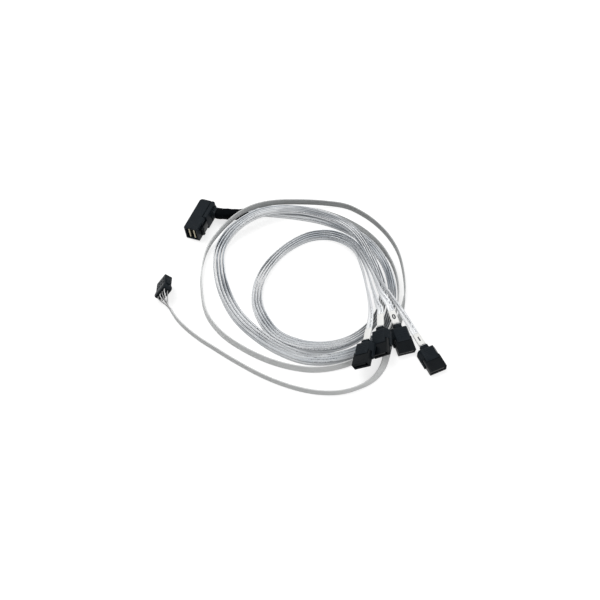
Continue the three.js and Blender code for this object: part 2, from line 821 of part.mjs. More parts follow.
cavities().forEach(({ column, row, x, z }, index) => {
  const way = (socketColumns - 1 - column) * socketRows + socketRows - 1 - row;
  const ways = socketColumns * socketRows;
  const drop = (way - (ways - 1) / 2) * wirePitch;
  const start = ribbonEnd.clone().addScaledVector(ribbonHeading, seatGap).addScaledVector(ribbonUp, -drop);
  const lead = start.clone().addScaledVector(ribbonHeading, wireLead);
  const entry = socket.localToWorld(new THREE.Vector3(x, -socketLength - wireRunIn, z));
  const end = socket.localToWorld(new THREE.Vector3(x, -socketLength + wireEntry, z));
  const path = new THREE.CatmullRomCurve3([start, lead, entry, end], false, 'centripetal');
  const geometry = new THREE.ExtrudeGeometry(wireSection, { steps: wireSteps, extrudePath: path });
  cable.add(piece(`sideband_wire_${index + 1}`, geometry, finishes.wire));
});

// The origin is the middle of the connectors' own box
const bounds = new THREE.Box3();
[host, socket, ...plugs].forEach((connector) => bounds.union(new THREE.Box3().setFromObject(connector, true)));
const middle = bounds.getCenter(new THREE.Vector3());
cable.position.set(-middle.x, -middle.y, 0);

export default cable;
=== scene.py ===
from math import ceil, cos, pi, radians, sin, sqrt

import bmesh
import bpy
from mathutils import Matrix, Vector


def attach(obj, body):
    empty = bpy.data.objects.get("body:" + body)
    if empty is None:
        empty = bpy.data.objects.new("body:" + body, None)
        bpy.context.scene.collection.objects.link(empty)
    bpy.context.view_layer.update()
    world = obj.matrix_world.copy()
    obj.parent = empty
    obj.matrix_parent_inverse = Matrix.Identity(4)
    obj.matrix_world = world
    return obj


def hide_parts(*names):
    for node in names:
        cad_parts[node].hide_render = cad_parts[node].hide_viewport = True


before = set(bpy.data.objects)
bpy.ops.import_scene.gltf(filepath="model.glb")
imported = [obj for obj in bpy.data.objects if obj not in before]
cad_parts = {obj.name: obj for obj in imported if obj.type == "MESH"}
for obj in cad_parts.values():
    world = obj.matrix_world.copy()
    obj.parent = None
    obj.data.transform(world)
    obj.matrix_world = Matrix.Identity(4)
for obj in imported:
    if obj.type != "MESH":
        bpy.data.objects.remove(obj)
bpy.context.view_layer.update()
mm = 0.001
seatGap = 0.3  # clearance between pieces that end at or sit in each other, in millimetres
up = Vector((0, 0, 1))

for name in ("Cube", "Light", "Camera"):
    if name in bpy.data.objects:
        bpy.data.objects.remove(bpy.data.objects[name])

# Camera and the coil's own middle, which is the part's origin
coilMiddle = Vector((-0.692, 1.679, 0))
cameraSetup = {"target": (0, -6, 0), "distance": 944, "elevation": 55, "lens": 85}


def coilPoint(x, y, z):
    return (Vector((x, y, z)) - coilMiddle) * mm


def addCamera():
    bpy.ops.object.camera_add()
    camera = bpy.context.object
    camera.name = "studioCamera"
    tilt = radians(cameraSetup["elevation"])
    offset = Vector((0, -cos(tilt), sin(tilt))) * cameraSetup["distance"] * mm
    camera.location = coilPoint(*cameraSetup["target"]) + offset
    camera.rotation_euler = (pi / 2 - tilt, 0, 0)
    camera.data.lens = cameraSetup["lens"]
    camera.data.sensor_width = 36
    bpy.context.scene.camera = camera


addCamera()
print("stage: camera")


# Where each connector lies in the coil, in millimetres and degrees
hostPlace = {"at": (-62.0, 69.1, 0.714), "heading": 157, "pitch": 0, "roll": 7.6}
socketPlace = {"at": (-90.4, 5.8, 5.542), "heading": 0, "pitch": -16, "roll": -55}
plugPlaces = [
    {"at": (44.3, -47.0, 9.261), "heading": 169, "pitch": 6, "roll": 33},
    {"at": (53.9, -36.0, 9.334), "heading": 179, "pitch": -2, "roll": 33},
    {"at": (62.6, -29.8, 3.465), "heading": 198, "pitch": -10.5, "roll": -5},
    {"at": (79.9, -44.7, 0.0), "heading": 205.5, "pitch": 0, "roll": 0},
]


def turned(place):
    turn = Matrix.Rotation(radians(place["heading"]), 4, "Z")
    turn = turn @ Matrix.Rotation(radians(place["pitch"]), 4, "X")
    turn = turn @ Matrix.Rotation(radians(place["roll"]), 4, "Y")
    return Matrix.Translation(coilPoint(*place["at"])) @ turn


def inPlace(place, x, y, z):
    return turned(place) @ (Vector((x, y, z)) * mm)


sampleStep = 0.6  # between two samples of a route, in millimetres

# Routes: x, y, z, lean and, for the four side by side, the pitch between them
bundleRoute = [
    (-27, 65.9, 3.4, 0, 1.35), (-17.5, 66, 2.4, 0, 1.35), (0, 63.5, 2.4, 0, 1.35),
    (17.5, 59, 2.4, 0, 1.35), (34.5, 50.5, 2.4, 0, 1.35), (49, 37.5, 2.4, 0, 1.35),
    (58, 20.5, 2.4, 0, 1.35), (61.5, 0.5, 2.4, 0, 1.35), (58.5, -20, 2.4, 0, 1.4),
    (50.5, -37, 2.4, 8, 1.5), (36.5, -49, 2.4, 18, 1.7), (19.5, -54, 2.4, 18, 1.8),
    (3, -53.5, 2.4, 18, 1.8), (-13, -46.5, 2.4, 18, 1.9), (-27.5, -35.5, 2.4, 18, 2.0),
    (-41, -20.5, 2.4, 18, 2.1), (-50, -2, 2.4, 15, 2.1), (-54.5, 17, 2.6, 10, 2.1),
    (-54.5, 33.5, 3.4, 0, 2.0), (-48.7, 44.8, 6, 0, 1.8), (-39.5, 52.6, 9.4, 0, 1.5),
    (-28.8, 59.3, 10.2, 0, 1.4), (-17.5, 63.6, 8.8, 0, 1.35), (0, 64.5, 7.4, 0, 1.35),
    (17, 60, 7.3, 0, 1.35), (32, 51.5, 7.2, 0, 1.35), (41, 40.5, 7.1, 0, 1.35),
    (47.5, 27.5, 5.4, 0, 1.35), (52.5, 14.5, 3.4, 0, 1.35), (55.3, 0.5, 2.4, 0, 1.35),
    (52.7, -16.5, 2.4, 0, 1.35), (44, -31, 2.4, 8, 1.4), (31, -41, 2.4, 18, 1.5),
    (16, -45, 2.4, 18, 1.6), (0, -43.5, 2.4, 18, 1.7), (-14.5, -36.5, 2.4, 18, 1.8),
    (-23.5, -24.5, 2.4, 18, 1.8), (-28.5, -9.5, 2.4, 18, 1.8), (-27, 8, 2.4, 14, 1.8),
    (-19.5, 23.5, 2.4, 8, 1.7), (-8, 36.5, 2.4, 0, 1.5), (5.5, 45, 2.4, 0, 1.6),
    (19, 46.5, 3.0, 0, 1.7), (30, 41.5, 4.8, 0, 1.7), (38, 32.5, 6.9, 0, 1.6),
]
tailRoutes = [
    [(41, 16.5, 7.8, -5), (44.5, -3, 8.6, -10), (46.3, -20, 9.8, -35)],
    [(44.3, 15, 7.8, -5), (48.3, -3.5, 8.6, -10), (51.2, -17, 9.8, -40)],
    [(47.6, 12.5, 7.8, 0), (53.5, -6, 8.6, -30)],
    [(51, 9.5, 7.8, 0), (61, -10.5, 8.6, -10), (68, -23.5, 7.6, -50)],
]
tailLeans = (-62, -62, -90, -90)
sidebandRoute = [
    (-27, 69.4, 3.6, 0), (-17.5, 69.8, 2.9, 0), (-3.5, 69.2, 2.9, -15), (14, 66.2, 2.4, -45),
    (31, 58.8, 2.3, -50), (47, 46.2, 2.6, -30), (60, 27.5, 2.9, 0), (65.5, 5, 2.9, 0),
    (63, -19, 2.9, 0), (54.5, -39.5, 2.9, 4), (42, -52, 2.9, 12), (27, -59.5, 2.9, 14),
    (12, -62.5, 2.9, 14), (-1.5, -61.5, 2.9, 14), (-19.5, -56, 2.9, 14), (-37.5, -46, 2.9, 14),
    (-51.5, -34.5, 2.9, 14), (-61.5, -19.5, 2.9, 12), (-65.5, -1.5, 2.9, 10), (-66, 19, 2.9, 8),
    (-62.3, 35.5, 3.6, 0), (-54.8, 46.8, 6.6, 0), (-44, 56.3, 11.2, 0), (-32.8, 63.6, 11.8, 0),
    (-19.5, 69, 10, 0), (0, 72.4, 6.8, 0), (18, 73.5, 4, 0), (32.5, 71.5, 2.9, 0),
    (42.5, 65.5, 2.9, 0), (51.5, 57.5, 2.9, 0), (60.5, 45.5, 2.9, 0), (66.5, 32, 2.9, 0),
    (69.5, 15, 2.9, 0), (69.8, -2.5, 2.9, 0), (67.8, -14.5, 2.7, 20), (65, -24.5, 2.1, 50),
    (60.6, -34, 1.7, 68), (58, -42, 1.6, 70), (56.2, -50, 1.8, 60), (53.5, -59.5, 2.3, 45),
    (47.5, -69, 2.8, 20), (38, -75.5, 2.9, 0), (25.5, -79.5, 2.9, 0), (11, -79.5, 2.9, 0),
    (-5.5, -75.5, 2.9, 0), (-23.5, -67.5, 2.9, 0), (-42, -56, 2.9, 0), (-56, -46, 2.9, 0),
    (-65.5, -39, 2.9, 0), (-74.5, -31, 3.2, 0), (-81, -24, 4.2, 0), (-85, -18, 5.6, 0),
]


class Route:  # a smooth line through given points, with a lean in degrees at each
    def __init__(self, points, leans):
        self.samples = []
        reach = [points[0] * 2 - points[1], *points, points[-1] * 2 - points[-2]]
        for i in range(len(points) - 1):
            a, b, c, d = reach[i:i + 4]
            before, span, after = ((q - p).length ** 0.5 for p, q in ((a, b), (b, c), (c, d)))
            leave = ((b - a) / before - (c - a) / (before + span) + (c - b) / span) * span
            arrive = ((c - b) / span - (d - b) / (span + after) + (d - c) / after) * span
            square = b * -3 + c * 3 - leave * 2 - arrive
            cube = b * 2 - c * 2 + leave + arrive
            count = max(4, ceil((c - b).length / (sampleStep * mm)))
            for step in range(count + (i == len(points) - 2)):
                t = step / count
                self.samples.append((
                    b + leave * t + square * t ** 2 + cube * t ** 3,
                    (leave + square * 2 * t + cube * 3 * t ** 2).normalized(),
                    leans[i] + (leans[i + 1] - leans[i]) * t,
                ))
        self.runs = [0]
        for (p, _, _), (q, _, _) in zip(self.samples, self.samples[1:]):
            self.runs.append(self.runs[-1] + (q - p).length)
        self.length = self.runs[-1]

    def stretch(self, start, end, spacing):
        count = max(2, ceil((end - start) / spacing))
        picked = []
        nearby = 0
        for step in range(count + 1):
            run = start + (end - start) * step / count
            while nearby < len(self.runs) - 2 and self.runs[nearby + 1] < run:
                nearby += 1
            share = (run - self.runs[nearby]) / (self.runs[nearby + 1] - self.runs[nearby])
            (p, u, m), (q, v, n) = self.samples[nearby:nearby + 2]
            side = up.cross(u.lerp(v, share).normalized()).normalized()
            tangent = u.lerp(v, share).normalized()
            side = Matrix.Rotation(radians(m + (n - m) * share), 3, tangent) @ side
            picked.append({
                "run": run, "at": p.lerp(q, share), "ahead": tangent,
                "side": side, "rise": tangent.cross(side),
            })
        return picked


def sweptPiece(name, rings, sections, closedEnds=True):
    body = bmesh.new()
    layer = body.loops.layers.uv.new("ribbonRun")
    loops = []
    for ring, section in zip(rings, sections):
        loops.append([body.verts.new(ring["at"] + ring["side"] * s + ring["rise"] * r) for s, r in section])
    for i in range(len(loops) - 1):
        size = len(loops[i])
        for j in range(size):
            k = (j + 1) % size
            face = body.faces.new((loops[i][j], loops[i][k], loops[i + 1][k], loops[i + 1][j]))
            for corner, (ring, place) in zip(face.loops, ((i, j), (i, k), (i + 1, k), (i + 1, j))):
                corner[layer].uv = (rings[ring]["run"], sections[ring][place][1])
    if closedEnds:
        body.faces.new(loops[0])
        body.faces.new(loops[-1])
    bmesh.ops.recalc_face_normals(body, faces=body.faces)
    mesh = bpy.data.meshes.new(name)
    body.to_mesh(mesh)
    body.free()
    mesh.shade_smooth()
    piece = bpy.data.objects.new(name, mesh)
    bpy.context.collection.objects.link(piece)
    return piece


def openTube(name, rings, outer, inner):  # a wall with both ends open
    loop = [*rings, *reversed(rings), rings[0]]
    tube = sweptPiece(name, loop, [*outer, *[inner] * len(rings), outer[0]], False)
    activate(tube)
    bpy.ops.object.mode_set(mode="EDIT")
    bpy.ops.mesh.select_all(action="SELECT")
    bpy.ops.mesh.remove_doubles(threshold=0.001 * mm)
    bpy.ops.mesh.normals_make_consistent(inside=False)
    bpy.ops.object.mode_set(mode="OBJECT")
    return tube


# Shader maths

class Socket:
    def __init__(self, recipe, link):
        self.recipe = recipe
        self.link = link

    def maths(self, operation, *others, first=None):
        values = [self, *others] if first is None else [first, self]
        return self.recipe.node("ShaderNodeMath", {"operation": operation}, dict(enumerate(values)))

    def __add__(self, other):
        return self.maths("ADD", other)

    def __radd__(self, other):
        return self.maths("ADD", first=other)

    def __sub__(self, other):
        return self.maths("SUBTRACT", other)

    def __rsub__(self, other):
        return self.maths("SUBTRACT", first=other)

    def __mul__(self, other):
        return self.maths("MULTIPLY", other)

    def __rmul__(self, other):
        return self.maths("MULTIPLY", first=other)

    def __truediv__(self, other):
        return self.maths("DIVIDE", other)

    def __lt__(self, other):
        return self.maths("LESS_THAN", other)

    def __gt__(self, other):
        return self.maths("GREATER_THAN", other)

    def __abs__(self):
        return self.maths("ABSOLUTE")

    def fraction(self):
        return self.maths("FRACT")


class Recipe:
    def __init__(self, name):
        self.material = bpy.data.materials.new(name)
        self.material.use_nodes = True
        self.tree = self.material.node_tree
        self.surface = self.tree.nodes["Principled BSDF"]

    def fill(self, node, values):
        for key, value in values.items():
            if isinstance(value, Socket):
                self.tree.links.new(value.link, node.inputs[key])
            else:
                node.inputs[key].default_value = value

    def node(self, kind, settings, values, output=0):
        made = self.tree.nodes.new(kind)
        for key, value in settings.items():
            setattr(made, key, value)
        self.fill(made, values)
        return Socket(self, made.outputs[output])

    def objectPlace(self):
        return self.node("ShaderNodeTexCoord", {}, {}, "Object")

    def ribbonPlace(self):
        spot = self.node("ShaderNodeUVMap", {"uv_map": "ribbonRun"}, {})
        along = self.node("ShaderNodeSeparateXYZ", {}, {0: spot}, 0)
        across = self.node("ShaderNodeSeparateXYZ", {}, {0: spot}, 1)
        return spot, along, across

    def noise(self, place, scale, detail=2.0):
        return self.node("ShaderNodeTexNoise", {}, {"Vector": place, "Scale": scale, "Detail": detail})

    def vectorMaths(self, operation, first, second):
        output = "Value" if operation in ("DISTANCE", "DOT_PRODUCT") else 0
        return self.node("ShaderNodeVectorMath", {"operation": operation}, {0: first, 1: second}, output)

    def stretchedNoise(self, spot, along, across):
        place = self.vectorMaths("MULTIPLY", spot, (along, across, 1))
        values = {"Vector": place, "Scale": 1.0, "Detail": 3.0}
        return self.node("ShaderNodeTexNoise", {"noise_dimensions": "2D"}, values)

    def blendColours(self, share, first, second):
        return self.node("ShaderNodeMix", {"data_type": "RGBA"}, {0: share, 6: first, 7: second}, 2)

    def smooth(self, value, low, high):
        values = {"Value": value, "From Min": low, "From Max": high}
        return self.node("ShaderNodeMapRange", {"interpolation_type": "SMOOTHSTEP"}, values)

    def bump(self, height, depth, strength=1.0):
        return self.node("ShaderNodeBump", {}, {"Height": height, "Distance": depth, "Strength": strength})

    def finish(self, **values):
        self.fill(self.surface, {key.replace("_", " "): value for key, value in values.items()})
        return self.material


def grey(value, tint=0.0):  # a positive tint is cooler
    return (value * (1 - tint), value, value * (1 + tint), 1)


plasticLook = {"cloudScale": 160, "rubScale": 620, "rubFrom": (0.58, 0.8), "rubShare": 0.35}


def mouldedPlastic(name, look):
    recipe = Recipe(name)
    place = recipe.objectPlace()
    cloud = recipe.noise(place, plasticLook["cloudScale"], 3.0)
    grain = recipe.noise(place, look["grainScale"], 3.0)
    rub = recipe.smooth(recipe.noise(place, plasticLook["rubScale"], 4.0), *plasticLook["rubFrom"])
    shade = recipe.blendColours(cloud, grey(look["dark"], 0.3), grey(look["light"], 0.25))
    shade = recipe.blendColours(rub * plasticLook["rubShare"], shade, grey(look["rubbed"], 0.05))
    return recipe.finish(
        Base_Color=shade, Roughness=look["roughness"] + (cloud - 0.5) * 0.2 - rub * 0.08,
        Normal=recipe.bump(grain, look["grainDepth"] * mm, 0.6), Specular_IOR_Level=look["gloss"],
    )


housingMaterial = mouldedPlastic("mouldedHousing", {
    "dark": 0.0095, "light": 0.018, "rubbed": 0.042, "roughness": 0.4,
    "grainScale": 5200, "grainDepth": 0.035, "gloss": 0.07,
})
insulatorMaterial = mouldedPlastic("smoothInsulator", {
    "dark": 0.004, "light": 0.008, "rubbed": 0.018, "roughness": 0.3,
    "grainScale": 3200, "grainDepth": 0.015, "gloss": 0.09,
})


tubeLook = {
    "dark": 0.0016, "light": 0.0036, "tint": 0.3, "roughness": 0.5, "gloss": 0.02,
    "cloudScale": 260, "creaseScale": (90, 1500), "grainScale": 4200, "creaseDepth": 0.09,
}


def shrunkTube():
    look = tubeLook
    recipe = Recipe("shrunkTube")
    spot = recipe.ribbonPlace()[0]
    place = recipe.objectPlace()
    cloud = recipe.noise(place, look["cloudScale"], 3.0)
    crease = recipe.stretchedNoise(spot, *look["creaseScale"])
    grain = recipe.noise(place, look["grainScale"], 2.0)
    dark, light = (grey(look[tone], look["tint"]) for tone in ("dark", "light"))
    return recipe.finish(
        Base_Color=recipe.blendColours(cloud, dark, light),
        Specular_IOR_Level=look["gloss"], Roughness=look["roughness"] + cloud * 0.14,
        Normal=recipe.bump(crease + grain * 0.3, look["creaseDepth"] * mm, 0.7),
    )


# Places across and along the ribbon are in millimetres from its middle and from its plug
foilLook = {
    "pale": (0.8, 0.82, 0.84, 1), "bright": (0.97, 0.98, 0.99, 1), "glint": (1.0, 1.0, 1.0, 1),
    "wrap": (0.36, 0.38, 0.40, 1), "haze": (0.36, 0.42, 0.48, 1), "shadeStreak": (0.13, 0.15, 0.175, 1),
    "web": (0.1, 0.11, 0.13, 1), "edge": (0.14, 0.16, 0.185, 1), "ink": (0.05, 0.055, 0.08, 1),
    "shadow": (0.16, 0.17, 0.175, 1),
    "shares": {
        "glint": 0.35, "wrap": 0.12, "haze": 0.6, "shadeStreak": 0.8, "web": 0.75, "edge": 0.8, "ink": 0.85,
        "shadow": 0.65,
    },
    "cloudScale": 55, "glintScale": 900, "glintFrom": (0.4, 0.72), "bumpScale": 260, "bumpDepth": 0.16,
    "wrapPitch": 2.6, "wrapSlope": 1.6, "wrapShare": 0.1,
    "webShadeHalf": (0.12, 0.36), "edgeShadeRise": (1.7, 1.86), "edgeShadeFall": (1.98, 2.1),
    "shadeStreakScale": (22, 900), "shadeStreakFrom": (0.5, 0.6), "paintedSheenScale": (11, 260), "paintedSheenFrom": (0.42, 0.62),
    "shadedScale": 26, "shadedFrom": (0.38, 0.62), "paleTail": (45, 75),
    "inkPlace": 0.98, "inkHalf": 0.3, "speckScale": (1300, 1500), "speckAbove": 0.52,
    "regionScale": 17, "regionAbove": 0.56, "shadowPlace": (55.5, -20, 2.4), "shadowReach": (9, 24),
}


def foilRibbon():
    look = foilLook
    recipe = Recipe("foilRibbon")
    spot, along, across = recipe.ribbonPlace()
    place = recipe.objectPlace()
    halfWidth = abs(across)

    def between(value, span):
        return recipe.smooth(value, span[0] * mm, span[1] * mm)

    # The foil's crossed wraps, and painted shade on the web between the two pairs and along the wire at each
    # edge
    wrapOne = ((along + across * look["wrapSlope"]) / (look["wrapPitch"] * mm)).fraction()
    wrapTwo = ((along - across * look["wrapSlope"]) / (look["wrapPitch"] * mm)).fraction()
    hatch = (wrapOne < look["wrapShare"]).maths("MAXIMUM", wrapTwo < look["wrapShare"])
    web = 1 - between(halfWidth, look["webShadeHalf"])
    edge = between(halfWidth, look["edgeShadeRise"]) - between(halfWidth, look["edgeShadeFall"])
    # Painted shade in long streaks and a painted blue-grey sheen, which come and go and are faint on the last
    # stretch before the plug
    cloud = recipe.noise(place, look["cloudScale"], 3.0)
    glint = recipe.noise(place, look["glintScale"], 3.0)
    shadeStreak = recipe.smooth(recipe.stretchedNoise(spot, *look["shadeStreakScale"]), *look["shadeStreakFrom"])
    haze = recipe.smooth(recipe.stretchedNoise(spot, *look["paintedSheenScale"]), *look["paintedSheenFrom"])
    beforeTail = between(along, look["paleTail"])
    shaded = recipe.smooth(recipe.noise(place, look["shadedScale"], 1.0), *look["shadedFrom"])
    strength = (0.35 + shaded * 0.65) * (0.3 + beforeTail * 0.7)
    # Specks of ink here and there along one pair, and painted shadow under the plugs
    specks = recipe.stretchedNoise(spot, *look["speckScale"]) > look["speckAbove"]
    region = recipe.noise(place, look["regionScale"], 0.0) > look["regionAbove"]
    ink = (abs(across - look["inkPlace"] * mm) < look["inkHalf"] * mm) * specks * region
    away = recipe.vectorMaths("DISTANCE", place, coilPoint(*look["shadowPlace"]))
    shadow = (1 - between(away, look["shadowReach"])) * beforeTail
    layers = {
        "glint": recipe.smooth(glint, *look["glintFrom"]), "wrap": hatch, "haze": haze * strength,
        "shadeStreak": shadeStreak * strength, "web": web * strength, "edge": edge * strength,
        "ink": ink, "shadow": shadow,
    }
    silver = recipe.blendColours(cloud, look["pale"], look["bright"])
    for layer, share in layers.items():
        silver = recipe.blendColours(share * look["shares"][layer], silver, look[layer])
    height = glint * 0.5 - hatch * 0.35 + recipe.noise(place, look["bumpScale"], 2.0)
    return recipe.finish(
        Base_Color=silver, Metallic=0.12 * (1 - ink), Roughness=0.34 + cloud * 0.16 + ink * 0.2,
        Normal=recipe.bump(height, look["bumpDepth"] * mm, 0.6), Coat_Weight=0.2, Coat_Roughness=0.16,
    )


ridgedLook = {
    "low": (0.62, 0.63, 0.63, 1), "high": (0.76, 0.77, 0.765, 1), "paintedShade": (0.25, 0.26, 0.26, 1),
    "ridgeShade": (0.27, 0.275, 0.28, 1), "pitch": 0.635, "ridgeShadeHalf": 0.12, "ridgeShadeShare": 0.3,
    "paintedShadeTowards": (0.5, 0.7, 0), "paintedShadeFrom": (-25, 52), "paintedShadeShare": 0.75,
    "cloudScale": 70, "grainScale": 2600, "grainDepth": 0.02, "roughness": 0.42,
}


def ridgedRibbon():  # painted shade: darker on the loops near the host plug
    look = ridgedLook
    recipe = Recipe("ridgedRibbon")
    across = recipe.ribbonPlace()[2]
    place = recipe.objectPlace()
    cloud = recipe.noise(place, look["cloudScale"], 3.0)
    grain = recipe.noise(place, look["grainScale"], 2.0)
    # Painted shade of the ridges, a thin dark line along each core
    fromRidge = abs((across / (look["pitch"] * mm)).fraction() - 0.5)
    ridgeShade = recipe.smooth(fromRidge, look["ridgeShadeHalf"], 0.0)
    shade = recipe.blendColours(cloud, look["low"], look["high"])
    # Painted shade, growing towards the back right of the coil
    towards = recipe.vectorMaths("DOT_PRODUCT", place, look["paintedShadeTowards"])
    paintedShade = recipe.smooth(towards, look["paintedShadeFrom"][0] * mm, look["paintedShadeFrom"][1] * mm)
    shade = recipe.blendColours(paintedShade * look["paintedShadeShare"], shade, look["paintedShade"])
    shade = recipe.blendColours(ridgeShade * look["ridgeShadeShare"], shade, look["ridgeShade"])
    return recipe.finish(
        Base_Color=shade, Roughness=look["roughness"] + cloud * 0.12,
        Normal=recipe.bump(grain, look["grainDepth"] * mm, 0.5),
    )


paperLook = {
    "clean": (0.88, 0.88, 0.86, 1), "smudged": (0.7, 0.7, 0.68, 1), "smudgeScale": 210,
    "smudgeFrom": (0.5, 0.8), "smudgeShare": 0.5, "fibreScale": 1500, "fibreDepth": 0.03, "roughness": 0.46,
}


def wrappedLabel():
    look = paperLook
    recipe = Recipe("wrappedLabel")
    place = recipe.objectPlace()
    fibre = recipe.noise(place, look["fibreScale"], 4.0)
    smudge = recipe.smooth(recipe.noise(place, look["smudgeScale"], 3.0), *look["smudgeFrom"])
    shade = recipe.blendColours(smudge * look["smudgeShare"], look["clean"], look["smudged"])
    return recipe.finish(
        Base_Color=shade, Roughness=look["roughness"] + fibre * 0.1,
        Normal=recipe.bump(fibre, look["fibreDepth"] * mm, 0.4),
    )


platedLook = {
    "dull": (0.78, 0.55, 0.22, 1), "bright": (0.9, 0.68, 0.32, 1), "cloudScale": 300,
    "brushScale": 2400, "brushDepth": 0.008, "roughness": 0.22,
}


def platedMetal():
    look = platedLook
    recipe = Recipe("platedMetal")
    place = recipe.objectPlace()
    brush = recipe.noise(place, look["brushScale"], 3.0)
    cloud = recipe.noise(place, look["cloudScale"], 2.0)
    return recipe.finish(
        Base_Color=recipe.blendColours(cloud, look["dull"], look["bright"]), Metallic=1.0,
        Roughness=look["roughness"] + brush * 0.14, Normal=recipe.bump(brush, look["brushDepth"] * mm, 0.5),
    )


boardLook = {
    "dark": (0.03, 0.028, 0.02, 1), "light": (0.06, 0.052, 0.035, 1), "edge": (0.74, 0.68, 0.5, 1),
    "edgeReach": (0.5, 0.1), "cloudScale": 420, "weaveScale": 3800, "weaveDepth": 0.02, "roughness": 0.44,
}


def layeredBoard(forward, front):  # pale only at its front edge
    look = boardLook
    recipe = Recipe("layeredBoard")
    place = recipe.objectPlace()
    weave = recipe.noise(place, look["weaveScale"], 2.0)
    cloud = recipe.noise(place, look["cloudScale"], 2.0)
    depth = recipe.vectorMaths("DOT_PRODUCT", place, forward)
    edge = recipe.smooth(depth, *(front - reach * mm for reach in look["edgeReach"]))
    side = recipe.blendColours(cloud, look["dark"], look["light"])
    return recipe.finish(
        Base_Color=recipe.blendColours(edge, side, look["edge"]), Roughness=look["roughness"] + cloud * 0.12,
        Normal=recipe.bump(weave, look["weaveDepth"] * mm, 0.5),
    )


wireLook = {
    "pale": 0.8, "shaded": 0.36, "cloudScale": 340, "grainScale": 3000, "grainDepth": 0.01, "roughness": 0.36,
}


def wireInsulation(name, shade):
    look = wireLook
    recipe = Recipe(name)
    place = recipe.objectPlace()
    cloud = recipe.noise(place, look["cloudScale"], 2.0)
    grain = recipe.noise(place, look["grainScale"], 2.0)
    return recipe.finish(
        Base_Color=recipe.blendColours(cloud, grey(shade * 0.8), grey(shade)),
        Roughness=look["roughness"] + cloud * 0.14, Normal=recipe.bump(grain, look["grainDepth"] * mm, 0.4),
    )


inkLook = {"fresh": (0.012, 0.013, 0.016, 1), "worn": (0.05, 0.052, 0.06, 1), "wearScale": 2600}


def printedInk():
    look = inkLook
    recipe = Recipe("printedInk")
    wear = recipe.noise(recipe.objectPlace(), look["wearScale"], 3.0)
    return recipe.finish(
        Base_Color=recipe.blendColours(wear, look["fresh"], look["worn"]), Roughness=0.45 + wear * 0.2,
    )


sleeveMaterial = shrunkTube()
foilMaterial = foilRibbon()
ridgedMaterial = ridgedRibbon()
labelMaterial = wrappedLabel()
contactMaterial = platedMetal()
wireMaterials = [
    wireInsulation("paleWire", wireLook["pale"]), wireInsulation("shadedWire", wireLook["shaded"]),
]
inkMaterial = printedInk()
print("stage: materials")


def dress(piece, material, node=None, body="cable"):
    piece.data.materials.clear()
    piece.data.materials.append(material)
    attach(piece, body)
    if node:
        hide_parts(node)
    return piece


def recolour(node, material):
    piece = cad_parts[node]
    piece.data.materials.clear()
    piece.data.materials.append(material)
    return piece


def deselectAll():
    if bpy.context.mode != "OBJECT":
        bpy.ops.object.mode_set(mode="OBJECT")
    bpy.ops.object.select_all(action="DESELECT")


def activate(piece):
    deselectAll()
    piece.select_set(True)
    bpy.context.view_layer.objects.active = piece


softEdges = {"sharperThan": 28, "smoothUpTo": 34}  # degrees between two faces


def bevelled(piece, width, segments=3):
    activate(piece)
    bevel = piece.modifiers.new("softEdges", "BEVEL")
    bevel.width = width * mm
    bevel.segments = segments
    bevel.angle_limit = radians(softEdges["sharperThan"])
    bevel.limit_method = "ANGLE"
    bpy.ops.object.modifier_apply(modifier=bevel.name)
    bpy.ops.object.shade_smooth_by_angle(angle=radians(softEdges["smoothUpTo"]))
    return piece


def softenedCopy(node, width, name):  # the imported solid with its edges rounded
    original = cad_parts[node]
    piece = bpy.data.objects.new(name, original.data.copy())
    bpy.context.collection.objects.link(piece)
    activate(piece)
    bpy.ops.object.mode_set(mode="EDIT")
    bpy.ops.mesh.select_all(action="SELECT")
    bpy.ops.mesh.remove_doubles(threshold=0.002 * mm)
    bpy.ops.mesh.dissolve_limited(angle_limit=radians(0.5))
    bpy.ops.object.mode_set(mode="OBJECT")
    return bevelled(piece, width)


# Sleeve
sleeveForm = {
    "back": (-8.45, 4.8, 5.85), "lead": (-9.35, 4.8, 5.85),
    "route": [(-50, 61.7, 6.7), (-43, 62.2, 5.6), (-36.5, 63.6, 4.6)],
    "width": 7.0, "height": 6.4, "corner": 2.2, "wall": 0.75, "slimCorner": 1.5, "mouthDepth": 3.0,
    "sides": 40, "step": 0.8, "taper": 0.25, "ripples": ((0.12, 23, 0), (0.07, 57, 1)), "hidden": 2.2,
}


def roundedSection(width, height, corner, sides):
    section = []
    for i in range(sides):
        turn = 2 * pi * (i + 0.5) / sides
        x = width / 2 - corner
        y = height / 2 - corner
        section.append((
            ((x if cos(turn) > 0 else -x) + corner * cos(turn)) * mm,
            ((y if sin(turn) > 0 else -y) + corner * sin(turn)) * mm,
        ))
    return section


def makeSleeve():
    form = sleeveForm
    points = [inPlace(hostPlace, *form["back"]), inPlace(hostPlace, *form["lead"])]
    points += [coilPoint(*place) for place in form["route"]]
    route = Route(points, (-7.6, -7.6, 0, 0, 0))
    rings = route.stretch(0, route.length, form["step"] * mm)
    sections = []
    for ring in rings:
        share = ring["run"] / route.length
        ripple = sum(size * sin(share * turns + start) for size, turns, start in form["ripples"])
        swell = ripple - form["taper"] * share
        width, height = form["width"] + swell, form["height"] + swell
        sections.append(roundedSection(width, height, form["corner"], form["sides"]))
    inside = [ring for ring in reversed(rings) if ring["run"] > route.length - form["mouthDepth"] * mm]
    width, height = form["width"] - 2 * form["wall"], form["height"] - 2 * form["wall"]
    slim = roundedSection(width, height, form["slimCorner"], form["sides"])
    sleeve = sweptPiece("heatShrinkSleeve", rings + inside, sections + [slim] * len(inside))
    dress(sleeve, sleeveMaterial, "heat_shrink_sleeve")
    return rings[-1]


sleeveMouth = makeSleeve()
print("stage: sleeve")


def sleeveExit(sideways, deep=0.0):
    side = up.cross(sleeveMouth["ahead"]).normalized()
    return sleeveMouth["at"] + sleeveMouth["ahead"] * (seatGap - deep) * mm + side * sideways * mm


# Drive plugs
plugForm = {"gripEdge": 0.38, "noseEdge": 0.16, "middle": 3.2, "straight": 5.5}


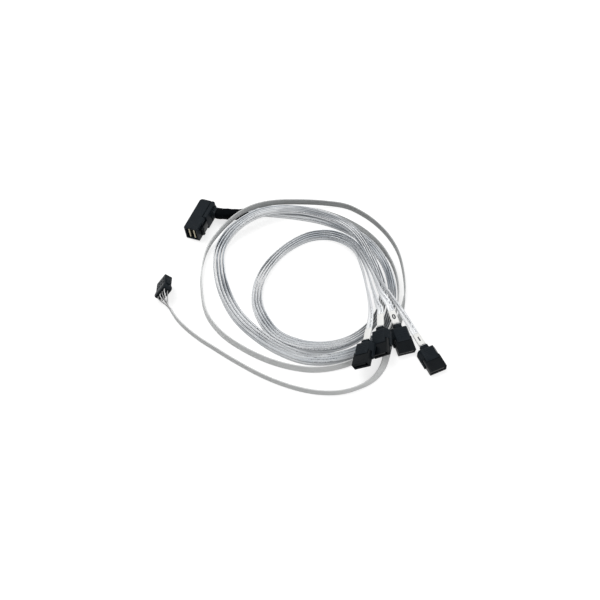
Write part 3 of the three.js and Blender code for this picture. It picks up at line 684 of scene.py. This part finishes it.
# Data ribbons, with two lobed pairs and a wire at each edge, and the labels wrapped round them
foilForm = {
    "width": 4.4, "lobe": 0.49, "lobePlace": 0.98, "lobeHalf": 0.84, "web": 0.2, "edgeWire": 0.24,
    "edgePlace": 1.98, "edgeHalf": 0.22, "edgeRound": 0.8, "thickness": 1.0, "step": 2.0, "across": 23,
    "sleeveShift": -0.7,
}
labelForm = {
    "length": 9.2, "setback": 0.6, "straight": 2, "wall": 0.12, "room": 0.1, "step": 0.8, "sides": 32,
    "innerCorner": 0.45, "outerCorner": 0.6, "digits": "3201", "digitSize": 4.6, "digitBold": 0.22,
    "digitRise": 0.02, "facing": (-1, -1, 1, 1),
}


def foilHeight(across):
    form = foilForm
    lobe = (abs(across) - form["lobePlace"]) / form["lobeHalf"]
    height = form["web"]
    if abs(lobe) < 1:
        height = max(height, form["lobe"] * sqrt(1 - lobe * lobe))
    edge = (abs(across) - form["edgePlace"]) / form["edgeHalf"]
    if abs(edge) < 1:
        height = max(height, form["edgeWire"] * sqrt(1 - edge * edge * form["edgeRound"]))
    return height


def flatSection(width, count, heightAt):
    top = []
    for i in range(count):
        across = width * (i / (count - 1) - 0.5)
        top.append((heightAt(across) * mm, across * mm))
    return top + [(-height, across) for height, across in reversed(top)]


def bundlePoints(index):
    middle = [Vector(row[:3]) for row in bundleRoute]
    route = Route([p * mm for p in middle], [0] * len(middle))
    points = []
    nearby = 0
    for row, place in zip(bundleRoute, middle):
        further = range(nearby, len(route.samples))
        nearby = min(further, key=lambda i: (route.samples[i][0] - place * mm).length)
        left = up.cross(route.samples[nearby][1]).normalized()
        points.append(coilPoint(*row[:3]) + left * (index - 1.5) * row[4] * mm)
    return points


def foilRoute(index):
    place = plugPlaces[index]
    sideways = foilForm["sleeveShift"] + (index - 1.5) * bundleRoute[0][4]
    behind = (labelForm["length"] + plugForm["straight"], labelForm["length"] + labelForm["straight"], seatGap)
    ends = [inPlace(place, 0, -back, plugForm["middle"]) for back in behind]
    tail = [coilPoint(*row[:3]) for row in tailRoutes[index]]
    inside = sleeveForm["hidden"]
    points = [sleeveExit(sideways, inside), sleeveExit(sideways), *bundlePoints(index), *tail, *ends]
    leans = [0, 0, *(row[3] for row in bundleRoute), *(row[3] for row in tailRoutes[index])]
    leans += [tailLeans[index]] * len(ends)
    return Route(points, leans)


def makeLabel(index, route):
    form = labelForm
    start = route.length - (form["setback"] + form["length"]) * mm
    rings = route.stretch(start, route.length - form["setback"] * mm, form["step"] * mm)
    thickness, width = foilForm["thickness"] + 2 * form["room"], foilForm["width"] + 2 * form["room"]
    inner = roundedSection(thickness, width, form["innerCorner"], form["sides"])
    thickness, width = thickness + 2 * form["wall"], width + 2 * form["wall"]
    outer = roundedSection(thickness, width, form["outerCorner"], form["sides"])
    label = openTube(f"wrapLabel{index + 1}", rings, [outer] * len(rings), inner)
    dress(label, labelMaterial, f"number_label_{index + 1}")
    return label, makeDigit(index, rings[len(rings) // 2])


def makeDigit(index, ring):
    form = labelForm
    outward = ring["side"] * (form["facing"][index] if ring["side"].z > 0 else -form["facing"][index])
    deselectAll()
    bpy.ops.object.text_add()
    digit = bpy.context.object
    digit.name = f"labelDigit{index + 1}"
    digit.data.body = form["digits"][index]
    digit.data.size = form["digitSize"] * mm
    digit.data.align_x = "CENTER"
    digit.data.align_y = "CENTER"
    digit.data.extrude = form["digitRise"] * mm
    digit.data.offset = form["digitBold"] * mm
    bpy.ops.object.convert(target="MESH")
    upright = -ring["ahead"]
    right = upright.cross(outward)
    lift = (foilForm["thickness"] / 2 + form["room"] + form["wall"] + form["digitRise"] / 2) * mm
    turn = Matrix((right, upright, outward)).transposed().to_4x4()
    digit.data.transform(Matrix.Translation(ring["at"] + outward * lift) @ turn)
    digit.matrix_world = Matrix.Identity(4)
    return dress(digit, inkMaterial)


def makeFoilRibbon(index, connectorPieces):
    route = foilRoute(index)
    rings = route.stretch(0, route.length, foilForm["step"] * mm)
    section = flatSection(foilForm["width"], foilForm["across"], foilHeight)
    for ring in rings:  # the pattern counts from the plug
        ring["run"] = route.length - ring["run"]
    ribbon = sweptPiece(f"foilRibbon{index + 1}", rings, [section] * len(rings))
    dress(ribbon, foilMaterial, f"data_ribbon_{index + 1}")
    label, digit = makeLabel(index, route)


plugTrimForm = {
    "gripTop": 6.4, "ribCount": 4, "ribPitch": 1.5, "ribSize": (6.4, 0.55, 0.24), "ribStart": 5.4,
    "ringCount": 3, "ringPitch": 0.9, "ringSize": (5.5, 0.45, 3.3), "ringStart": 0.5, "edge": 0.16,
}


def gripTrim():  # ribs across the plateau and rings round the neck, made once and copied
    form = plugTrimForm
    deselectAll()
    parts = []
    for i in range(form["ribCount"]):
        forward = form["ribStart"] + i * form["ribPitch"]
        bpy.ops.mesh.primitive_cube_add(size=1, location=(0, forward * mm, form["gripTop"] * mm))
        parts.append((bpy.context.object, form["ribSize"]))
    for i in range(form["ringCount"]):
        forward = form["ringStart"] + i * form["ringPitch"]
        bpy.ops.mesh.primitive_cube_add(size=1, location=(0, forward * mm, plugForm["middle"] * mm))
        parts.append((bpy.context.object, form["ringSize"]))
    for part, size in parts:
        activate(part)
        part.scale = [side * mm for side in size]
        bpy.ops.object.transform_apply(location=True, rotation=False, scale=True)
        bevelled(part, form["edge"], 2)
    deselectAll()
    for part, _ in parts:
        part.select_set(True)
    bpy.context.view_layer.objects.active = parts[0][0]
    bpy.ops.object.join()
    trim = bpy.context.object
    trim.name = "gripTrim"
    return trim


def makePlug(index, trim):
    number = index + 1
    grip = softenedCopy(f"drive_plug_{number}_grip", plugForm["gripEdge"], f"plugGrip{number}")
    dress(grip, housingMaterial, f"drive_plug_{number}_grip")
    nose = softenedCopy(f"drive_plug_{number}_nose", plugForm["noseEdge"], f"plugNose{number}")
    dress(nose, insulatorMaterial, f"drive_plug_{number}_nose")
    ribs = bpy.data.objects.new(f"plugTrim{number}", trim.data.copy())
    bpy.context.collection.objects.link(ribs)
    ribs.data.transform(turned(plugPlaces[index]))
    dress(ribs, housingMaterial)
    return [grip, nose, ribs, recolour(f"drive_plug_{number}_terminals", contactMaterial)]


trim = gripTrim()
for index in range(4):
    makeFoilRibbon(index, makePlug(index, trim))
bpy.data.objects.remove(trim)
print("stage: data ribbons and drive plugs")


# Sideband ribbon, its socket and the eight wires between them
sidebandForm = {
    "width": 5.08, "pitch": 0.635, "cores": 8, "low": 0.2, "high": 0.42, "step": 2.2, "across": 49,
    "shift": 2.6,
}
wireForm = {
    "size": 0.6, "pitch": 0.635, "lead": 3.0, "runIn": 2, "entry": 1.6, "tuck": 0.6, "step": 0.7, "sides": 12,
}
socketForm = {
    "pitch": 2.54, "columns": 4, "rows": 2, "length": 14.0, "edge": 0.16, "width": 10.7, "thickness": 5.52,
    "flare": 0.6, "flareLength": 5.4, "flareCorner": 0.5, "flareEdge": 0.1, "flareLap": 0.1, "sides": 32,
    "flareRises": ((0, 0.45), (0.3, 1), (0.55, 0.85), (1, 0.1)),
    "keyFrom": -9.6, "keyLength": 5.2, "keyWidth": 2.6, "keyRise": 1.1, "keySink": 0.2, "keyEdge": 0.3,
}


def coreHeight(across):
    form = sidebandForm
    place = (across / form["pitch"] + form["cores"] / 2) % 1 - 0.5
    return form["low"] + (form["high"] - form["low"]) * sqrt(max(0, 1 - 4 * place * place))


def makeSideband():
    points = [sleeveExit(sidebandForm["shift"], sleeveForm["hidden"]), sleeveExit(sidebandForm["shift"])]
    points += [coilPoint(*row[:3]) for row in sidebandRoute]
    route = Route(points, [0, 0, *(row[3] for row in sidebandRoute)])
    rings = route.stretch(0, route.length, sidebandForm["step"] * mm)
    section = flatSection(sidebandForm["width"], sidebandForm["across"], coreHeight)
    ribbon = sweptPiece("ridgedRibbon", rings, [section] * len(rings))
    dress(ribbon, ridgedMaterial, "sideband_ribbon")
    housing = softenedCopy("sideband_housing", socketForm["edge"], "socketHousing")
    dress(housing, housingMaterial, "sideband_housing")
    carried = [housing, makeFlare(), makeKey()]
    for number in range(1, sidebandForm["cores"] + 1):
        carried.append(recolour(f"sideband_contact_{number}", contactMaterial))
    end = rings[-1]
    for column in range(socketForm["columns"]):
        for row in range(socketForm["rows"]):
            carried.append(makeWire(column, row, end))


def makeFlare():  # the collar round the wires' end, open like a sleeve
    form = socketForm
    turn = turned(socketPlace)
    rings = []
    outer = []
    for step, rise in form["flareRises"]:
        back = form["flareLength"] * step - form["length"]
        rings.append({
            "at": turn @ (Vector((0, back, 0)) * mm), "run": back * mm,
            "side": (turn.to_3x3() @ Vector((1, 0, 0))), "rise": (turn.to_3x3() @ Vector((0, 0, 1))),
        })
        width, thickness = (form[side] + 2 * form["flare"] * rise for side in ("width", "thickness"))
        outer.append(roundedSection(width, thickness, form["flareCorner"], form["sides"]))
    width, thickness = (form[side] - form["flareLap"] for side in ("width", "thickness"))
    inner = roundedSection(width, thickness, form["flareCorner"] * 0.7, form["sides"])
    flare = openTube("socketFlare", rings, outer, inner)
    bevelled(flare, form["flareEdge"], 2)
    return dress(flare, housingMaterial)


def makeKey():
    form = socketForm
    deselectAll()
    sideways = (form["width"] + form["keyRise"] - form["keySink"]) / 2
    middle = (sideways, form["keyFrom"] + form["keyLength"] / 2, 0)
    bpy.ops.mesh.primitive_cube_add(size=1, location=[side * mm for side in middle])
    key = bpy.context.object
    key.name = "socketKey"
    size = (form["keyRise"] + form["keySink"], form["keyLength"], form["keyWidth"])
    key.scale = [side * mm for side in size]
    bpy.ops.object.transform_apply(location=True, rotation=False, scale=True)
    bevelled(key, form["keyEdge"])
    key.data.transform(turned(socketPlace))
    return dress(key, housingMaterial)


def makeWire(column, row, end):
    form = wireForm
    number = column * socketForm["rows"] + row + 1
    way = (socketForm["columns"] - 1 - column) * socketForm["rows"] + socketForm["rows"] - 1 - row
    drop = (way - (sidebandForm["cores"] - 1) / 2) * form["pitch"]
    rise = (up - end["ahead"] * up.dot(end["ahead"])).normalized()
    start = end["at"] - rise * drop * mm
    x = (column - (socketForm["columns"] - 1) / 2) * socketForm["pitch"]
    z = (row - (socketForm["rows"] - 1) / 2) * socketForm["pitch"]
    length = socketForm["length"]
    points = [
        start - end["ahead"] * form["tuck"] * mm, start + end["ahead"] * (seatGap + form["lead"]) * mm,
        inPlace(socketPlace, x, -length - form["runIn"], z), inPlace(socketPlace, x, form["entry"] - length, z),
    ]
    route = Route(points, [0] * 4)
    rings = route.stretch(0, route.length, form["step"] * mm)
    section = roundedSection(form["size"], form["size"], form["size"] / 2, form["sides"])
    wire = sweptPiece(f"socketWire{number}", rings, [section] * len(rings))
    return dress(wire, wireMaterials[(column + row) % 2], f"sideband_wire_{number}")


makeSideband()
print("stage: sideband ribbon and socket")


# Host plug
hostForm = {"bodyEdge": 0.3, "coverEdge": 0.3, "collarEdge": 0.3, "latchEdge": 0.14}


def makeHostPlug():
    for node, edge, body, slot, material in (
        ("host_plug_body", "bodyEdge", "cable", "housing", housingMaterial),
        ("host_plug_cover", "coverEdge", "cable", "housing", housingMaterial),
        ("host_plug_collar", "collarEdge", "cable", "housing", housingMaterial),
        ("host_plug_latch", "latchEdge", "latch", "insulator", insulatorMaterial),
    ):
        words = node.split("_")
        name = words[0] + "".join(word.title() for word in words[1:])
        dress(softenedCopy(node, hostForm[edge], name), material, node, body)
    forward = (inPlace(hostPlace, 0, 1, 0) - inPlace(hostPlace, 0, 0, 0)).normalized()
    cards = [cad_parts[f"paddle_card_{number}"] for number in (1, 2)]
    front = max(corner.co.dot(forward) for card in cards for corner in card.data.vertices)
    boardMaterial = layeredBoard(forward, front)
    for number in (1, 2):
        recolour(f"paddle_card_{number}", boardMaterial)


makeHostPlug()
print("stage: host plug")


# Floor, lights and world
studio = {
    "floorSize": 6, "floorDrop": 0.05, "floorColour": 0.42, "floorLift": 0.72, "ambient": 0.42,
    "lights": {
        "keyLight": {"place": (-0.45, 0.25, 1.15), "size": 0.8, "power": 8.5},
        "fillLight": {"place": (0.8, -0.7, 0.9), "size": 1.0, "power": 5.0},
    },
}


def seenDirectly(recipe):
    seen = recipe.node("ShaderNodeLightPath", {}, {}, "Is Camera Ray")
    for ray in ("Is Glossy Ray", "Is Transmission Ray"):
        seen = seen.maths("MAXIMUM", recipe.node("ShaderNodeLightPath", {}, {}, ray))
    return seen


def makeStudio():
    deselectAll()
    bpy.ops.mesh.primitive_plane_add(size=studio["floorSize"], location=(0, 0, -studio["floorDrop"] * mm))
    floor = bpy.context.object
    floor.name = "studioFloor"
    recipe = Recipe("studioFloor")
    seen = seenDirectly(recipe)
    recipe.finish(
        Base_Color=grey(studio["floorColour"]), Roughness=0.9, Specular_IOR_Level=0.0,
        Emission_Color=grey(1.0), Emission_Strength=seen * studio["floorLift"],
    )
    floor.data.materials.append(recipe.material)
    world = bpy.data.worlds.new("studioWorld")
    bpy.context.scene.world = world
    world.use_nodes = True
    recipe.tree = world.node_tree
    background = world.node_tree.nodes["Background"]
    background.inputs["Color"].default_value = grey(1.0)
    strength = studio["ambient"] + seenDirectly(recipe) * (1 - studio["ambient"])
    recipe.fill(background, {"Strength": strength})
    for name, light in studio["lights"].items():
        bpy.ops.object.light_add(type="AREA", location=light["place"])
        lamp = bpy.context.object
        lamp.name = name
        lamp.data.size = light["size"]
        lamp.data.energy = light["power"]
        lamp.rotation_euler = (-Vector(light["place"])).to_track_quat("-Z", "Y").to_euler()


makeStudio()
bpy.context.scene.view_settings.view_transform = "Standard"
print("stage: studio")
